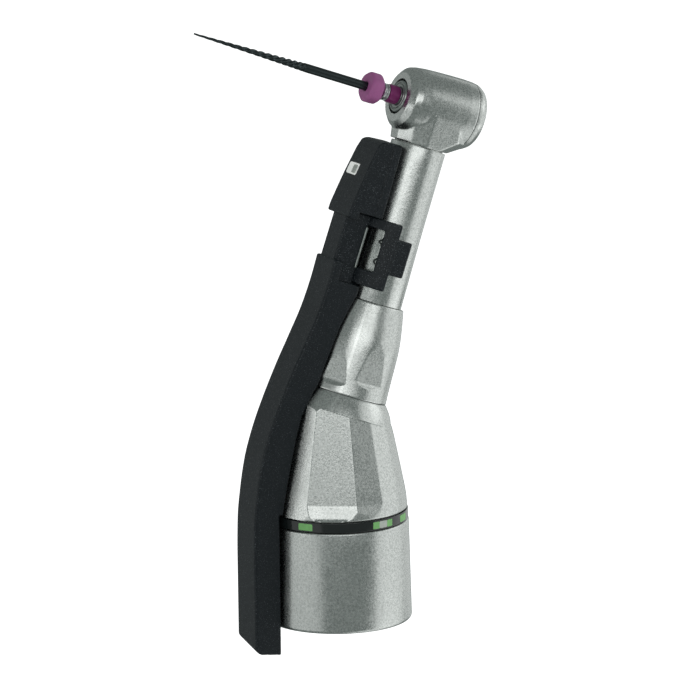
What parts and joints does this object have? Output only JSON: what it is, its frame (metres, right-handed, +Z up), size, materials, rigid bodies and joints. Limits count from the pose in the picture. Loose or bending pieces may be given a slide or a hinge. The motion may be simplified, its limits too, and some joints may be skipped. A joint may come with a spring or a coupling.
{
  "type": "geared contra-angle handpiece",
  "caption": "Angled geared handpiece for an endodontic motor: torque sleeve, faceted elbow, slim neck, push-button head with root-canal file, and a clip-on electrode rail.",
  "frame": {"origin": "centre of the motor coupling opening, in the plane of the torque sleeve's rear face", "axes": "+Z up the handle axis away from the motor, +X towards the side the neck leans to, file pointing back towards -X; XZ is the casing's plane of symmetry"},
  "size_m": [0.042, 0.02, 0.0846],
  "materials": {
    "satin_nickel": "satin bead-blasted nickel finish",
    "hardened_steel": "ground hardened steel",
    "bearing_bronze": "turned bronze",
    "black_plastic": "fine-textured black moulding",
    "black_anodised": "glossy black band",
    "green_enamel": "green enamel inlay",
    "white_enamel": "pale enamel inlay",
    "purple_anodised": "magenta anodised ring",
    "pink_silicone": "pink-magenta silicone",
    "dark_alloy": "heat-treated dark alloy"
  },
  "bodies": {
    "handpiece": {"coupling_sleeve": "satin_nickel", "rear_o_ring": "black_plastic", "elbow_housing": "satin_nickel", "grip_sleeve": "satin_nickel", "neck_tube": "satin_nickel", "head_housing": "satin_nickel", "button_bezel": "satin_nickel", "ring_gear": "hardened_steel", "input_bearing_outer_race": "hardened_steel", "mid_bearing_outer_race": "hardened_steel", "neck_bearing_outer_race": "hardened_steel", "chuck_front_bearing_outer_race": "hardened_steel", "chuck_rear_bearing_outer_race": "hardened_steel", "neck_bush": "bearing_bronze", "button_spring_washer": "hardened_steel", "button_spring": "hardened_steel", "clutch_pressure_ring": "hardened_steel", "clutch_spring": "hardened_steel"},
    "selector": {"selector_sleeve": "satin_nickel", "marking_band": "black_anodised", "selector_cam": "hardened_steel", "torque_mark_1": "green_enamel", "torque_mark_2": "green_enamel", "torque_mark_3": "green_enamel", "torque_mark_4": "green_enamel", "torque_mark_5": "white_enamel", "torque_mark_6": "green_enamel"},
    "spring_seat": {"clutch_spring_seat": "hardened_steel"},
    "input_shaft": {"input_shaft": "hardened_steel", "sun_gear": "hardened_steel", "input_bearing_balls": "hardened_steel"},
    "carrier": {"planet_carrier": "hardened_steel", "mid_shaft": "hardened_steel", "mid_bearing_balls": "hardened_steel", "elbow_gear_lower": "hardened_steel"},
    "planet_1": {"planet_gear_1": "hardened_steel"},
    "planet_2": {"planet_gear_2": "hardened_steel"},
    "planet_3": {"planet_gear_3": "hardened_steel"},
    "neck_shaft": {"neck_shaft": "hardened_steel", "elbow_gear_upper": "hardened_steel", "neck_pinion": "hardened_steel", "neck_bearing_balls": "hardened_steel"},
    "chuck": {"chuck_spindle": "hardened_steel", "chuck_gear": "hardened_steel", "chuck_latch": "hardened_steel", "chuck_front_bearing_balls": "hardened_steel", "chuck_rear_bearing_balls": "hardened_steel"},
    "file": {"file_shank": "hardened_steel", "file_band": "purple_anodised", "file_blade": "dark_alloy"},
    "stopper": {"file_stopper": "pink_silicone"},
    "push_button": {"push_button": "satin_nickel"},
    "electrode_rail": {"rail_body": "black_plastic", "rail_cap": "black_plastic", "tube_clip": "black_plastic", "contact_spring": "satin_nickel", "signal_lens": "white_enamel", "lead_socket": "bearing_bronze"}
  },
  "joints": [
    {"name": "input_spin", "type": "hinge", "parent": "handpiece", "child": "input_shaft", "pos_m": [0, 0, 0.0125], "axis": [0, 0, 1], "continuous": true},
    {"name": "carrier_spin", "type": "hinge", "parent": "handpiece", "child": "carrier", "pos_m": [0, 0, 0.0205], "axis": [0, 0, 1], "continuous": true},
    {"name": "planet_spin_1", "type": "hinge", "parent": "carrier", "child": "planet_1", "pos_m": [0, 0.00396, 0.0185], "axis": [0, 0, 1], "continuous": true},
    {"name": "planet_spin_2", "type": "hinge", "parent": "carrier", "child": "planet_2", "pos_m": [-0.00343, -0.00198, 0.0185], "axis": [0, 0, 1], "continuous": true},
    {"name": "planet_spin_3", "type": "hinge", "parent": "carrier", "child": "planet_3", "pos_m": [0.00343, -0.00198, 0.0185], "axis": [0, 0, 1], "continuous": true},
    {"name": "neck_shaft_spin", "type": "hinge", "parent": "handpiece", "child": "neck_shaft", "pos_m": [0, 0, 0.0276], "axis": [0.3322, 0, 0.9432], "continuous": true},
    {"name": "chuck_spin", "type": "hinge", "parent": "handpiece", "child": "chuck", "pos_m": [0.01452, 0, 0.06882], "axis": [-0.9432, 0, 0.3322], "continuous": true},
    {"name": "file_release", "type": "slide", "parent": "chuck", "child": "file", "axis": [-0.9432, 0, 0.3322], "range_m": [0, 0.014]},
    {"name": "stopper_slide", "type": "slide", "parent": "file", "child": "stopper", "axis": [-0.9432, 0, 0.3322], "range_m": [0, 0.019]},
    {"name": "push_button_press", "type": "slide", "parent": "handpiece", "child": "push_button", "axis": [-0.9432, 0, 0.3322], "range_m": [0, 0.00035], "stiffness_N_per_m": 250, "springref_m": -0.001},
    {"name": "torque_selector_turn", "type": "hinge", "parent": "handpiece", "child": "selector", "pos_m": [0, 0, 0.007], "axis": [0, 0, 1], "range_deg": [0, 120]},
    {"name": "clutch_preload", "type": "slide", "parent": "handpiece", "child": "spring_seat", "axis": [0, 0, 1], "range_m": [0, 0.0012], "deforming": ["clutch_spring"]},
    {"name": "rail_unclip", "type": "slide", "parent": "handpiece", "child": "electrode_rail", "axis": [-0.9432, 0, 0.3322], "range_m": [0, 0.02]}
  ],
  "couplings": [
    {"joint": "carrier_spin", "follows": "input_spin", "ratio": 0.25},
    {"joint": "planet_spin_1", "follows": "input_spin", "ratio": -0.75},
    {"joint": "planet_spin_2", "follows": "input_spin", "ratio": -0.75},
    {"joint": "planet_spin_3", "follows": "input_spin", "ratio": -0.75},
    {"joint": "neck_shaft_spin", "follows": "input_spin", "ratio": 0.25},
    {"joint": "chuck_spin", "follows": "input_spin", "ratio": -0.125},
    {"joint": "torque_selector_turn", "follows": "clutch_preload", "rad_per_m": 1745.3}
  ]
}
